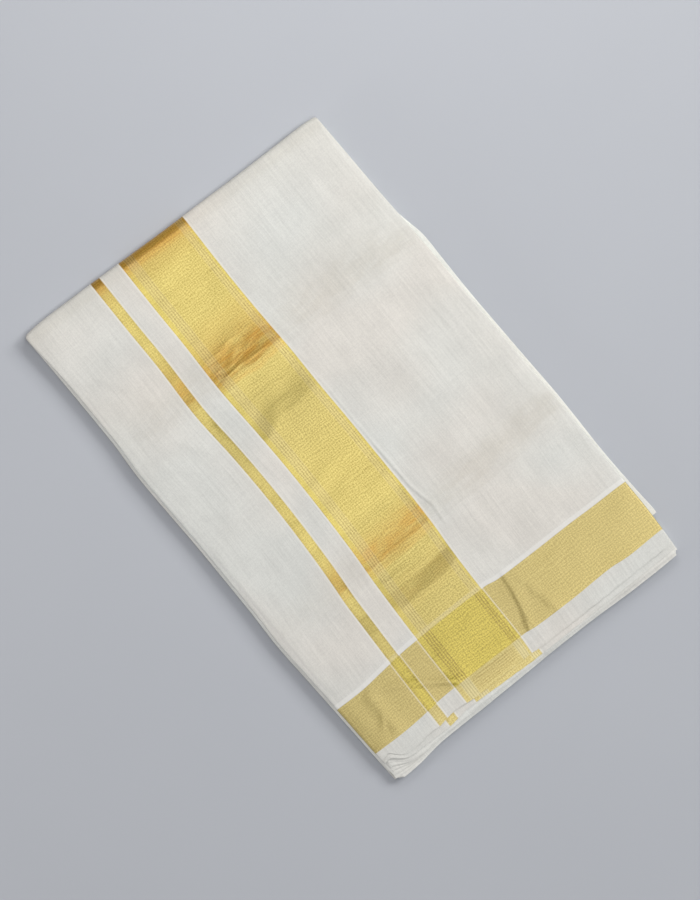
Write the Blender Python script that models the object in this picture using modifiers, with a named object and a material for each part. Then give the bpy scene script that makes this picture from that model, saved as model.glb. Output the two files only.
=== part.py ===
"""A cotton dhoti, folded flat: four leaves across and eight along.

+X runs across the packet, +Y along it towards the thick fold, +Z up.
The origin is on the underside, in the middle of the packet's box.
Tables are in millimetres, and everything placed in the scene is in metres.
"""

import math

import bmesh
import bpy

MM = 0.001

# The cloth that is folded, in metres
CLOTH_LENGTH = 4.0
CLOTH_WIDTH = 1.27
LEAVES_ALONG = 8
LEAVES_ACROSS = 4

# The packet, in millimetres
HALF_WIDTH = CLOTH_WIDTH / LEAVES_ACROSS / 2 / MM
HALF_LENGTH = CLOTH_LENGTH / LEAVES_ALONG / 2 / MM
STACK = 12.2  # height of the pressed leaves
FOLD_RADIUS = 6.3  # outside radius of the thick fold
WALL = 1.0  # thickness of a leaf
GAP = 0.3  # between one leaf and the next
CURL = 1.6  # outside radius where a leaf turns under at a long side
CURL_ANGLES = (-1.2, -0.6, 0.0, 0.55, 1.05)  # around that turn, from the inner lip up to the flat
TOP_SET_BACK = 2.2  # the upper leaves stop this far short of the lower ones at the left side
SET_BACK_FADE = 60.0  # and come back to them over this length at the thick fold
UNDERSIDE_SET_BACK = 2.0  # the underside stops this far short of the lowest layer's cut end
SHOULDER_WIDTH = 15.0  # how far in from a long side the top starts to fall
SHOULDER_FALL = 1.1
END_FALL = 0.9  # the stack thins towards its open end

# The outer edges, as distances beyond the half sizes: along the long sides ...
SIDES = (
    # y, left, right
    (260, -1.0, -2.4),
    (226, -1.3, -2.2),
    (188, -1.3, -2.0),
    (150, -1.0, -1.8),
    (125, -0.4, -1.3),
    (99, 1.6, -0.8),
    (62, 1.6, -0.4),
    (20, 1.1, -0.2),
    (-20, 1.5, 0.1),
    (-60, 2.2, 0.3),
    (-91, 3.4, 0.4),
    (-130, 2.3, 0.2),
    (-170, 1.2, -0.2),
    (-205, 0.4, -0.6),
    (-232, -0.3, -2.0),
    (-260, -1.2, -4.0),
)
# ... and along the short ends, where the thick fold runs askew and each lower layer reaches further out.
ENDS = (
    # x, thick fold, top leaf's cut end, second leaf's cut end, lowest layer
    (-165, 3.2, -16.8, -11.0, -2.0),
    (-150, 2.9, -16.4, -10.5, -1.8),
    (-130, 2.5, -16.0, -10.6, -1.8),
    (-100, 0.9, -16.0, -11.2, -4.0),
    (-65, -1.2, -16.3, -11.6, -3.4),
    (-32, -3.4, -15.8, -9.2, -2.6),
    (0, -5.4, -15.2, -6.9, -2.2),
    (32, -7.0, -12.6, -5.6, -1.8),
    (64, -8.8, -11.6, -4.8, -0.6),
    (100, -10.4, -9.2, -3.0, 1.6),
    (130, -11.4, -8.2, -1.8, 2.7),
    (165, -12.8, -7.8, -1.4, 2.8),
)

# The largest creases of the top: a soft ridge, or a trough where the height is negative
CREASES = (
    # x, y at one end, x, y at the other, half width, height
    (-175, 121, 0, 113, 13, 0.75),
    (0, 113, 175, 87, 14, 0.6),
    (-175, 84, 175, 76, 11, -0.35),
    (-175, 60, 120, 60, 12, 0.45),
    (-175, -84, 175, -88, 13, 0.5),
    (-175, -106, 175, -104, 10, -0.35),
    (-175, -130, 60, -131, 11, 0.7),
    (30, -128, 175, -118, 11, 0.5),
)

# The layers inside, from the lowest up: thickness share, and how far each stops short of the outer edges
LAYERS = (
    # share, left, right, open end
    (1.0, 2.6, 2.6, 0.0),
    (1.0, 2.4, 2.5, 1.1),
    (1.9, 0.5, 1.0, 0.3),
    (1.1, 1.3, 0.8, 2.0),
    (1.0, 2.1, 0.7, 2.9),
    (1.0, 4.6, 2.9, 4.0),
)
GROOVE = 1.1  # depth of the groove between two layers
CORNER_TRIM = 1.5  # each corner's point is drawn in by this much
SLACK = 0.4  # further room over the inner layers
SECOND_LEAF_START = -172.0
SECOND_LEAF_INSET = 4.6  # keeps it clear of the turned-under sides
RECESS_START = -150.0  # the inner layers lie lower from here on, under the second leaf
RECESS_SLOPE = 8.0  # length over which they go down

# The lower leaf that stands out at the right side
SIDE_LEAF = (
    # y, distance beyond the half width
    (142, -3.6),
    (125, -1.2),
    (112, 1.1),
    (99, 3.2),
    (74, 2.8),
    (49, 2.2),
    (23, 2.0),
    (-2, 2.3),
    (-40, 2.7),
    (-78, 3.3),
    (-104, 2.8),
    (-141, 1.8),
    (-167, 2.0),
    (-192, 2.7),
    (-213, 3.3),
)
SIDE_LEAF_DEPTH = 26.0  # how far it reaches in between the layers
SIDE_LEAF_LAYER = 3  # it lies in place of this layer, counted from the lowest
SLOT_DEPTH = 32.0  # the layer it replaces stops this far in from the right side ...
SLOT_BEFORE, SLOT_AFTER = 3.0, 18.0  # ... from before its lower end to after its upper one

# How finely the forms are drawn
COLUMNS_BETWEEN = 15
TOP_ROWS, ARC_ROWS, UNDER_ROWS = 34, 6, 15
CORE_COLUMNS, CORE_ROWS = 16, 28

WHITE_COTTON = (0.80, 0.79, 0.75, 1.0)
SHADED_COTTON = (0.74, 0.73, 0.69, 1.0)


def curve_through(rows, column, at):
    """A smooth curve through one column of a table whose first column is the position."""
    rows = sorted(rows)
    spots = [row[0] for row in rows]
    values = [row[column] for row in rows]
    at = min(max(at, spots[0]), spots[-1])
    i = max(n for n in range(len(spots) - 1) if spots[n] <= at)
    slopes = []
    for n in (i, i + 1):
        before, after = max(n - 1, 0), min(n + 1, len(spots) - 1)
        slopes.append((values[after] - values[before]) / (spots[after] - spots[before]))
    step = spots[i + 1] - spots[i]
    f = (at - spots[i]) / step
    rise = values[i + 1] - values[i]
    a, b = slopes[0] * step - rise, rise - slopes[1] * step
    return values[i] + f * rise + f * (1 - f) * (a * (1 - f) + b * f)


def eased(value, low, high):
    """0 below low and 1 above high, with a smooth step between."""
    f = min(max((value - low) / (high - low), 0.0), 1.0)
    return f * f * (3 - 2 * f)


def left_edge(y):
    return -HALF_WIDTH - curve_through(SIDES, 1, y)


def right_edge(y):
    return HALF_WIDTH + curve_through(SIDES, 2, y)


def fold_edge(x):
    return HALF_LENGTH + curve_through(ENDS, 1, x)


def open_edge(x, column):
    return -HALF_LENGTH - curve_through(ENDS, column, x)


def crease_height(x, y):
    total = 0.0
    for x0, y0, x1, y1, half_width, height in CREASES:
        along_x, along_y = x1 - x0, y1 - y0
        length = math.hypot(along_x, along_y)
        u = ((x - x0) * along_x + (y - y0) * along_y) / length
        v = ((y - y0) * along_x - (x - x0) * along_y) / length
        fade = eased(u, -15, 15) * (1 - eased(u, length - 15, length + 15))
        total += height * fade * math.exp(-((v / half_width) ** 2))
    return total


def top_height(x, y):
    """Height of the top leaf's outer face, without the shoulders at the long sides."""
    towards_fold = eased(y, 150, HALF_LENGTH - 25)
    towards_end = eased(-y, 120, HALF_LENGTH)
    pressed = STACK - END_FALL * towards_end + crease_height(x, y)
    return pressed + (2 * FOLD_RADIUS - pressed) * towards_fold


def shoulder(inward):
    return SHOULDER_FALL * max(0.0, 1 - inward / SHOULDER_WIDTH) ** 2


def place(s, t, left, right, low, high):
    """The point at s across and t along inside four curved edges."""
    x, y = 0.0, 0.0
    for _ in range(4):
        x = left(y) + s * (right(y) - left(y))
        y = low(x) + t * (high(x) - low(x))
    return x, y


def new_material(name, colour, roughness):
    material = bpy.data.materials.new(name)
    material.use_nodes = True
    shader = material.node_tree.nodes["Principled BSDF"]
    shader.inputs["Base Color"].default_value = colour
    shader.inputs["Roughness"].default_value = roughness
    shader.inputs["Metallic"].default_value = 0.0
    return material


def finished(bm, name, material):
    """Makes a mesh object, in metres, from points in millimetres."""
    bmesh.ops.scale(bm, vec=(MM, MM, MM), verts=bm.verts)
    mesh = bpy.data.meshes.new(name)
    bm.to_mesh(mesh)
    bm.free()
    mesh.shade_smooth()
    mesh.set_sharp_from_angle(angle=math.radians(50))
    mesh.materials.append(material)
    obj = bpy.data.objects.new(name, mesh)
    bpy.data.collections["folded_dhoti"].objects.link(obj)
    return obj


def leaf_from_grid(name, columns, rows, point, material):
    """A leaf of cloth: a grid laid through point(column, row), with a wall on its inner side."""
    bm = bmesh.new()
    bmesh.ops.create_grid(bm, x_segments=columns - 1, y_segments=rows - 1, size=0.5)
    for vert in bm.verts:
        column = round((vert.co.x + 0.5) * (columns - 1))
        row = round((vert.co.y + 0.5) * (rows - 1))
        vert.co = point(column, row)
    obj = finished(bm, name, material)
    wall = obj.modifiers.new("wall", "SOLIDIFY")
    wall.thickness = WALL * MM
    wall.offset = -1
    wall.use_even_offset = True
    return obj


def side_section():
    """Points of a leaf's cross section: (share across, distance in from its edge, depth)."""
    turn = [(CURL * (1 - math.cos(a)), CURL * (1 - math.sin(a))) for a in CURL_ANGLES]
    section = [(0.0, inward, depth) for inward, depth in turn]
    section += [(0.0, CURL + beyond, 0.0) for beyond in (3.0, 9.0)]
    section += [(n / COLUMNS_BETWEEN, None, 0.0) for n in range(1, COLUMNS_BETWEEN)]
    mirrored = [(1.0, inward, depth) for share, inward, depth in reversed(section) if share == 0.0]
    return section + mirrored


def add_outer_leaf(material):
    section = side_section()
    stations = [("top", n / (TOP_ROWS - 1)) for n in range(TOP_ROWS)]
    stations += [("arc", math.pi * (0.5 - n / (ARC_ROWS + 1))) for n in range(1, ARC_ROWS + 1)]
    stations += [("under", 1 - n / (UNDER_ROWS - 1)) for n in range(UNDER_ROWS)]

    def point(column, row):
        share, inward, depth = section[column]
        run, value = stations[row]
        if run == "top":
            lower, t, level = (lambda x: open_edge(x, 2)), value, 1.0
        elif run == "arc":
            lower, t, level = (lambda x: open_edge(x, 2)), 1.0, 0.5 + math.sin(value) / 2
        else:
            lower, t, level = (lambda x: open_edge(x, 4) + UNDERSIDE_SET_BACK), value, 0.0
        set_back = TOP_SET_BACK * level

        def left(y):
            return left_edge(y) + set_back * (1 - eased(y, HALF_LENGTH - SET_BACK_FADE, HALF_LENGTH))

        x, y = place(share, t, left, right_edge, lower, lambda x: fold_edge(x) - FOLD_RADIUS)
        from_edge = min(x - left(y), right_edge(y) - x)
        if inward is not None:
            x += inward if share == 0.0 else -inward
            y = lower(x) + t * (fold_edge(x) - FOLD_RADIUS - lower(x))
            from_edge = inward
        depth += shoulder(from_edge) * level
        if run == "top":
            return x, y, top_height(x, y) - depth
        if run == "arc":
            radius = FOLD_RADIUS - depth
            return x, y + radius * math.cos(value), FOLD_RADIUS + radius * math.sin(value)
        return x, y, depth

    return leaf_from_grid("outer_leaf", len(section), len(stations), point, material)


def add_second_leaf(material):
    """The end of the leaf under the top one; it stops short of the turned-under sides."""
    columns, rows = 20, 6

    def point(column, row):
        x, y = place(
            column / (columns - 1),
            row / (rows - 1),
            lambda y: left_edge(y) + TOP_SET_BACK + SECOND_LEAF_INSET,
            lambda y: right_edge(y) - SECOND_LEAF_INSET,
            lambda x: open_edge(x, 3),
            lambda x: SECOND_LEAF_START,
        )
        from_edge = min(x - left_edge(y) - TOP_SET_BACK, right_edge(y) - x)
        return x, y, top_height(x, y) - WALL - GAP - shoulder(from_edge)

    return leaf_from_grid("second_leaf", columns, rows, point, material)


def layer_height(level, x, y):
    """Height at one place of a level between the layers inside: 2.5 is the middle of the third."""
    whole = min(int(level), len(LAYERS) - 1)
    shares = [row[0] for row in LAYERS]
    below = sum(shares[:whole]) + shares[whole] * (level - whole)
    bottom = WALL + GAP
    top = top_height(x, y) - 2 * (WALL + GAP) - SHOULDER_FALL
    return bottom + (top - bottom) * below / sum(shares)


def add_side_leaf(material):
    columns, rows = 5, 30
    spots = [r[0] for r in SIDE_LEAF]

    def point(column, row):
        y = min(spots) + (max(spots) - min(spots)) * row / (rows - 1)
        outer = HALF_WIDTH + curve_through(SIDE_LEAF, 1, y)
        share = (column / (columns - 1)) ** 0.5
        x = outer - SIDE_LEAF_DEPTH * (1 - share)
        return x, y, layer_height(SIDE_LEAF_LAYER - 0.5, x, y) + WALL / 2

    return leaf_from_grid("side_leaf", columns, rows, point, material)


def inner_edges(level, left_in, right_in, end_in):
    """The four edges of the inner folds at one level."""
    radius = FOLD_RADIUS - WALL - GAP
    spots = [r[0] for r in SIDE_LEAF]
    slot = abs(level - SIDE_LEAF_LAYER + 0.5) < 0.5

    def clear_of_turn(y, x, inset):
        clear = CURL + 3 * GAP
        return inset + max(clear - inset, 0.0) * eased(y - fold_edge(x), -26, -12)

    def right(y):
        if slot and min(spots) - SLOT_BEFORE < y < max(spots) + SLOT_AFTER:
            return right_edge(y) - SLOT_DEPTH
        return right_edge(y) - clear_of_turn(y, HALF_WIDTH, right_in)

    def high(x):
        lift = abs(layer_height(level, x, fold_edge(x)) - FOLD_RADIUS) / radius
        return fold_edge(x) - FOLD_RADIUS + radius * math.sqrt(max(1 - lift * lift, 0.0))

    return (
        lambda y: left_edge(y) + clear_of_turn(y, -HALF_WIDTH, left_in),
        right,
        lambda x: open_edge(x, 4) + end_in,
        high,
    )


def add_inner_folds(material):
    """Every hidden layer in one solid: a floor, a ring for each groove and edge, and a top."""
    rings = []
    for number, (_, *insets) in enumerate(LAYERS):
        for share, groove in ((0.04, 1.0), (0.3, 0.0), (0.7, 0.0), (0.96, 1.0)):
            rings.append((number + share, *(inset + GROOVE * groove for inset in insets)))
    bm = bmesh.new()
    low, high = open_edge(HALF_WIDTH, 4), fold_edge(HALF_WIDTH)
    slot_end = (min(row[0] for row in SIDE_LEAF) - low) / (high - low)
    along = [0.0, slot_end / 2, slot_end - 0.008, slot_end + 0.001]
    along += [0.1 + 0.9 * n / (CORE_ROWS - 1) for n in range(CORE_ROWS)]
    columns, rows = CORE_COLUMNS, len(along) - 1

    def ring_point(ring, s, t):
        level = ring[0]
        x, y = place(s, t, *inner_edges(*ring))
        if s in (0, 1) and t in (0, 1):
            x += CORNER_TRIM * (1 if s == 0 else -1)
            y += CORNER_TRIM * (1 if t == 0 else -1)
        return x, y, layer_height(level, x, y) if level > 1 else WALL + GAP + level

    def top_point(s, t):
        x, y, _ = ring_point(rings[-1], s, t)
        from_edge = min(x - left_edge(y) - TOP_SET_BACK, right_edge(y) - x)
        recess = eased(-y, -RECESS_START - RECESS_SLOPE, -RECESS_START)
        depth = SLACK + (WALL + GAP) * (1 + recess)
        return x, y, top_height(x, y) - shoulder(from_edge) - depth

    around = [(c, 0) for c in range(columns)] + [(columns, r) for r in range(rows)]
    around += [(c, rows) for c in range(columns, 0, -1)] + [(0, r) for r in range(rows, 0, -1)]
    loops = []
    for ring in rings:
        loops.append([bm.verts.new(ring_point(ring, c / columns, along[r])) for c, r in around])
    for lower, upper in zip(loops, loops[1:]):
        for n in range(len(around)):
            m = (n + 1) % len(around)
            bm.faces.new((lower[n], lower[m], upper[m], upper[n]))
    for loop, point, upward in (
        (loops[0], lambda s, t: ring_point(rings[0], s, t), False),
        (loops[-1], top_point, True),
    ):
        grid = dict(zip(around, loop))
        for c in range(columns + 1):
            for r in range(rows + 1):
                if (c, r) not in grid:
                    grid[c, r] = bm.verts.new(point(c / columns, along[r]))
        for c in range(columns):
            for r in range(rows):
                corners = (grid[c, r], grid[c + 1, r], grid[c + 1, r + 1], grid[c, r + 1])
                bm.faces.new(corners if upward else corners[::-1])
    return finished(bm, "inner_folds", material)


def build():
    for obj in list(bpy.data.objects):
        bpy.data.objects.remove(obj, do_unlink=True)
    collection = bpy.data.collections.new("folded_dhoti")
    bpy.context.scene.collection.children.link(collection)
    cotton = new_material("white_cotton", WHITE_COTTON, 0.85)
    shaded = new_material("cotton_in_the_folds", SHADED_COTTON, 0.9)
    add_outer_leaf(cotton)
    add_second_leaf(cotton)
    add_side_leaf(cotton)
    add_inner_folds(shaded)


build()
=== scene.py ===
import math

import bpy
import bmesh
import numpy as np
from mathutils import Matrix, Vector, noise


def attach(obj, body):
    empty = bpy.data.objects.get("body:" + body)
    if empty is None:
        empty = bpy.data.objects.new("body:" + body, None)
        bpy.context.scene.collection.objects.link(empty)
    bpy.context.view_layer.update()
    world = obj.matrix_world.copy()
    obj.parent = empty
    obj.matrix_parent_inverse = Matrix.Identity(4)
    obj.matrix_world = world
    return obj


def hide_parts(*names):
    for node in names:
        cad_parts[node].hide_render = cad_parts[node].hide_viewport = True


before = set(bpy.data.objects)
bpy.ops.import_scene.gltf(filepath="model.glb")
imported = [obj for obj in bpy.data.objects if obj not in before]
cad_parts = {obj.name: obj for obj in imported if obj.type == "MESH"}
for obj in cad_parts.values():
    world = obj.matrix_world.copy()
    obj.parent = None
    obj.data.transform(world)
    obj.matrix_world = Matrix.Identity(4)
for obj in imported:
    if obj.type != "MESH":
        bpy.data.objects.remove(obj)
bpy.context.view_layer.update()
millimetre = 0.001

# the packet's sizes, in millimetres; +Y runs towards the thick fold
packet = {
    "halfWidth": 158.75,      # 1.27 m of cloth, four leaves across
    "halfLength": 250.0,      # 4 m of cloth, eight leaves along
    "stack": 12.2,            # height of the pressed leaves
    "foldRadius": 6.3,        # outside radius of the thick fold
    "cloth": 0.3,             # thickness of one leaf
    "gap": 0.15,              # air between two leaves
    "setBack": 2.2,           # upper leaves stop this far short on the left
    "setBackFade": 60,        # and less and less over the last stretch before the fold
    "shoulderWidth": 15.0,
    "shoulderFall": 1.1,
    "endFall": 0.9,           # the stack thins towards its open end
    "foldCorners": ((-1, 5.5), (1, 4.5)),  # side, radius of the fold's rounded end there
}
leafPitch = packet["cloth"] + packet["gap"]  # from one leaf to the next
# distances beyond the half width: y, left, right
sideTable = [
    (260, -1.0, -2.4), (226, -1.3, -2.2), (188, -1.3, -2.0), (150, -1.0, -1.8), (125, -0.4, -1.3),
    (99, 1.6, -0.8), (62, 1.6, -0.4), (20, 1.1, -0.2), (-20, 1.5, 0.1), (-60, 2.2, 0.3), (-91, 3.4, 0.4),
    (-130, 2.3, 0.2), (-170, 1.2, -0.2), (-205, 0.4, -0.6), (-232, -0.3, -2.0), (-260, -1.2, -4.0),
]
# the thick fold's outer line: x, y
foldTable = [
    (-165, 253.2), (-150, 252.9), (-130, 252.5), (-100, 250.9), (-65, 248.8), (-32, 246.6), (0, 244.6),
    (32, 243.0), (64, 241.2), (100, 239.6), (130, 238.6), (165, 237.2),
]
# where the leaves end at the open end: x, top leaf, second leaf, third, fourth, lowest
endTable = [
    (-165, -227.6, -229.8, -234.0, -241.8, -248.4),
    (-157, -227.4, -229.4, -233.0, -242.0, -248.4),
    (-152, -224.8, -228.2, -231.6, -242.5, -248.6),
    (-147, -224.6, -230.0, -234.5, -243.4, -248.7),
    (-142, -230.2, -234.6, -238.2, -243.7, -248.7),
    (-137, -233.8, -237.8, -240.6, -244.0, -248.6),
    (-131, -235.1, -238.6, -242.2, -244.2, -248.4),
    (-120, -234.8, -239.2, -242.8, -244.5, -247.2),
    (-109, -233.8, -239.8, -242.2, -244.0, -246.2),
    (-98, -234.4, -240.2, -242.6, -243.9, -246.0),
    (-86, -232.9, -240.0, -242.9, -244.2, -246.3),
    (-73, -233.1, -238.6, -242.8, -244.6, -246.6),
    (-60, -235.4, -239.0, -242.8, -245.0, -247.0),
    (-32, -236.0, -240.9, -243.4, -245.4, -247.4),
    (0, -237.2, -243.1, -244.8, -246.2, -247.8),
    (12, -238.2, -243.4, -245.0, -246.2, -247.8),
    (32, -239.0, -244.0, -245.4, -246.6, -248.2),
    (64, -240.0, -245.0, -246.4, -247.8, -249.4),
    (100, -241.0, -246.2, -248.0, -249.6, -251.6),
    (130, -241.5, -247.2, -249.2, -250.8, -252.7),
    (150, -241.9, -247.6, -249.6, -251.0, -252.8),
    (165, -242.2, -247.8, -249.8, -251.2, -252.8),
]
# the creases that cross the whole packet; a crest is a row of points: x, y, height.
# above and below are the reach of its two flanks, steep says how quickly the upper one falls at first, and
# the first number is its share of the painted crease shade
crossCreases = {
    "nearFold": {
        "shadeShare": 1.0, "wander": 1.0, "above": 34.0, "steep": 2.0, "below": 90.0, "round": 2.4,
        "crest": [
            (-165, 116.5, 0.30), (-120, 113.6, 0.55), (-76, 112.0, 0.72), (-56, 110.6, 0.95),
            (-25, 109.0, 1.12), (4, 107.0, 1.08), (16, 106.2, 0.78), (34, 105.5, 0.90), (70, 104.5, 1.05),
            (115, 101.5, 1.05), (165, 92.0, 0.40),
        ],
    },
    "belowIt": {
        "shadeShare": 0.1, "wander": 2.0, "above": 20.0, "steep": 1.5, "below": 45.0, "round": 3.0,
        "crest": [
            (-165, 60.0, 0.10), (-90, 57.0, 0.15), (-52, 50.0, 0.62), (-28, 60.0, 0.52), (6, 54.0, 0.64),
            (20, 54.0, 0.20), (110, 56.0, 0.16), (165, 60.0, 0.08),
        ],
    },
    "pastMiddle": {
        "shadeShare": 1.4, "wander": 0.3, "above": 24.0, "steep": 1.5, "below": 110.0, "round": 1.5,
        "crest": [
            (-165, -92.0, 0.10), (-118, -93.0, 0.26), (-84, -94.0, 0.40), (-60, -94.5, 0.48),
            (3, -94.0, 0.50), (18, -93.0, 0.50), (80, -94.0, 0.66), (140, -92.0, 0.66), (165, -90.0, 0.25),
        ],
    },
    "nearBand": {
        "shadeShare": 0.3, "wander": 0.4, "above": 14.5, "steep": 1.0, "below": 200.0, "round": 1.8,
        "crest": [
            (-165, -136.0, 0.20), (-128, -138.0, 0.38), (-84, -137.5, 0.48), (-62, -137.5, 0.76),
            (0, -136.0, 0.80), (12, -133.0, 0.45), (74, -131.0, 0.48), (92, -124.5, 0.52),
            (140, -122.0, 0.48), (165, -121.0, 0.15),
        ],
    },
}
# fine ripples pressed into the stiff border beside those creases: from y, to y, pitch, height
rippleTable = [(74.0, 101.0, 4.3, 0.020), (-121.0, -96.0, 4.6, 0.020), (112.0, 134.0, 6.5, 0.045)]
# smaller creases: x, y, x, y, width on the right or upper side, on the other side, height
wrinkleTable = [
    # jagged little folds in the stiff border above the first crease
    (-54, 117, -44, 125, 1.6, 1.2, 0.16), (-44, 125, -36, 119, 1.6, 1.2, 0.18),
    (-36, 119, -25, 129, 1.8, 1.2, 0.20), (-25, 129, -17, 122, 1.6, 1.2, 0.18),
    (-17, 122, -6, 127, 1.8, 1.3, 0.16), (-6, 127, 6, 118, 1.6, 1.3, 0.18),
    (-48, 113, -30, 114.5, 1.4, 1.0, 0.14), (-24, 113, -4, 112, 1.4, 1.0, 0.14),
    (-40, 133, -22, 137, 2.0, 1.6, 0.12),
    # the pucker along the wide border
    (14.0, 62, 13.6, -10, 2.2, 1.0, 0.32), (13.6, -10, 14.2, -62, 2.1, 0.8, 0.70),
    (14.2, -62, 18.8, -84, 2.4, 0.8, 0.86), (18.8, -84, 17.2, -103, 2.4, 1.1, 0.60),
    (9.4, -56, 8.0, -104, 1.6, 3.2, 0.26),
    # between the thin stripe and the wide border
    (-70, 106, -64, 84, 3.0, 2.5, 0.30), (-79, 90, -74, 56, 2.5, 2.0, 0.36),
    (-74, 56, -67.5, 16, 2.5, 2.0, 0.36), (-82, -86, -79, -110, 2.4, 2.0, 0.30),
    # left of the thin stripe
    (-145, 37, -110, 21, 1.8, 3.4, 0.42), (-115, 99, -101, 75, 4.0, 3.0, 0.60),
    (-132, 183, -116, 156, 6.0, 4.5, 0.70), (-105, 203, -120, 177, 5.0, 4.0, 0.50),
    (-114, 149, -98, 127, 4.0, 4.0, 0.42), (-140, 92, -124, 70, 5.0, 3.5, 0.34),
    (-150, -30, -118, -52, 5.0, 7.0, 0.22), (-124, -80, -108, -102, 5.0, 4.0, 0.22),
    (-146, -128, -120, -150, 5.0, 6.0, 0.22),
    # right of the wide border
    (12.6, 95, 18, 73, 3.0, 2.5, 0.28), (28, 63, 41, 37, 5.0, 5.0, 0.28), (42, 78, 53, 61, 3.0, 3.0, 0.22),
    (110, 61, 129, 54, 4.0, 4.0, 0.20), (57, 163, 88, 171, 4.0, 5.0, 0.24),
    (88, 171, 113, 148, 5.0, 4.0, 0.24), (60, 40, 140, 6, 5.0, 8.0, 0.32),
    (40, -40, 150, -66, 5.0, 8.0, 0.32), (30, -10, 34, -90, 4.0, 6.0, 0.16),
    (118, 196, 146, 158, 7.0, 6.0, 0.28), (70, 128, 150, 138, 5.0, 6.0, 0.18),
    (96, -150, 140, -142, 5.0, 7.0, 0.22),
    # short ones running in from the right side
    (159, 122, 127, 132, 1.8, 2.2, 0.34), (159, 116, 118, 119, 1.6, 2.2, 0.32),
    (159, 110, 134, 104, 2.0, 1.6, 0.26), (159, -82, 131, -86, 2.0, 2.0, 0.28),
    (159, -90, 139, -95, 1.6, 2.0, 0.22), (159, 30, 146, 22, 2.0, 2.4, 0.16),
    # across the gold band, right and left
    (27.0, -164, 24.8, -184, 6.0, 2.3, 0.70), (24.8, -184, 21.4, -200, 6.0, 2.3, 1.00),
    (21.4, -200, 13.4, -222, 6.0, 2.4, 1.05), (32.5, -170, 37.5, -190, 3.6, 1.7, 0.62),
    (37.5, -190, 44.0, -224, 3.6, 1.7, 0.80), (19.6, -206, 18.0, -226, 1.4, 1.0, 0.26),
    (17.6, -224, 17.2, -238, 1.4, 1.0, 0.34), (9.4, -222, 8.4, -238, 1.2, 1.2, 0.22),
    (44, -222, 46, -238, 2.0, 1.6, 0.24), (80, -196, 147, -199, 12.0, 8.0, 0.32),
    (104, -225, 130, -228, 6.0, 3.0, 0.24), (50, -184, 78, -186, 5.0, 5.0, 0.16),
    (-128, -165, -117, -179, 3.0, 2.0, 0.55), (-117, -179, -96, -190, 4.0, 2.0, 0.52),
    (-96, -190, -60, -217, 4.0, 2.2, 0.68), (-128.5, -172, -128, -216, 5.0, 6.0, 0.90),
    (-140, -209, -131, -195, 1.5, 1.6, 0.60), (-150, -226, -140, -237, 2.4, 2.4, 0.70),
    (-112, -224, -104, -236, 2.0, 2.4, 0.22), (90, -228, 92, -242, 3.0, 3.0, 0.18),
    # leaf edges that show through near the long sides
    (-156.2, -215, -156, 130, 0.9, 1.3, 0.16), (-152.9, -150, -152.6, 10, 1.7, 7.0, 0.70),
    (-152.6, 10, -151.8, 96, 1.7, 6.0, 0.36), (-149.5, 210, -149.6, 70, 1.4, 1.0, 0.13),
    (152.2, -200, 152.6, 236, 0.8, 1.3, 0.17),
]


def curveThrough(table, column, at):
    # a smooth line through the table's points, read at the given places
    rows = np.array(sorted(table), float)
    spots, values = rows[:, 0], rows[:, column]
    count = len(spots)
    before, after = np.maximum(np.arange(count) - 1, 0), np.minimum(np.arange(count) + 1, count - 1)
    slopes = (values[after] - values[before]) / (spots[after] - spots[before])
    at = np.clip(at, spots[0], spots[-1])
    i = np.clip(np.searchsorted(spots, at, side="right") - 1, 0, count - 2)
    step, rise = spots[i + 1] - spots[i], values[i + 1] - values[i]
    part = (at - spots[i]) / step
    bendIn, bendOut = slopes[i] * step - rise, rise - slopes[i + 1] * step
    return values[i] + part * rise + part * (1 - part) * (bendIn * (1 - part) + bendOut * part)


def eased(value, low, high):
    # 0 below low, 1 above high, smooth between
    part = np.clip((value - low) / (high - low), 0.0, 1.0)
    return part * part * (3 - 2 * part)


def within(value, start, full, last, stop):
    # 1 from full to last, easing off to 0 at start and stop
    return eased(value, start, full) * (1 - eased(value, last, stop))


def softness(x, y, scaleX, scaleY, seed):
    # smooth unevenness, about half a unit either way
    flat = [noise.noise(Vector((a / scaleX, b / scaleY, seed))) for a, b in zip(x.ravel(), y.ravel())]
    return np.array(flat).reshape(x.shape)


def leftEdge(y):
    return -packet["halfWidth"] - curveThrough(sideTable, 1, y)


def rightEdge(y):
    return packet["halfWidth"] + curveThrough(sideTable, 2, y)


def foldEdge(x):
    return curveThrough(foldTable, 1, x)


def leafEnd(x, leaf):
    return curveThrough(endTable, leaf, x)


def creases(x, y, shadeWeighted=False):
    # height of the long creases, or, when weighted for the painted shade, each one times its share of that
    # shade
    total = np.zeros(np.broadcast(x, y).shape)
    wander = 1.5 * np.sin(x / 9.7 + 0.6) * np.sin(x / 23.0 + 1.9)
    wander = wander + 0.7 * np.sin(x / 4.1) * np.sin(x / 13.0 + 0.4)
    for crease in crossCreases.values():
        away = y - curveThrough(crease["crest"], 1, x) - wander * crease["wander"]
        rounded = np.sqrt(away**2 + crease["round"] ** 2) - crease["round"]
        upper = np.maximum(0.0, 1 - rounded / crease["above"]) ** crease["steep"]
        lower = np.maximum(0.0, 1 - rounded / crease["below"])
        profile = np.where(away > 0, upper, lower)
        total = total + curveThrough(crease["crest"], 2, x) * profile * (crease["shadeShare"] if shadeWeighted else 1)
    return total


# painted shade, browner on the gold and greyer on the white: on each crest's steep upper flank, where the
# light falls away, and beside and round the thick fold
paintedShadeLayout = {
    "beside": ((-8.0, 0.34), (0.0, 0.50), (7.0, 0.40)),  # distance from the crest, share
    "slopeReach": 0.6, "slopeFrom": 0.003, "slopeOver": 0.042,
    "nearFold": ((0.85, -17, -6), (0.3, -36, -12)),      # share, from and full, in front of the fold's line
    "patch": (0.2, 124, 140, 150, 172),                  # share, and the stretch above the first crease
    "roundFold": 1.15,
}
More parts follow.
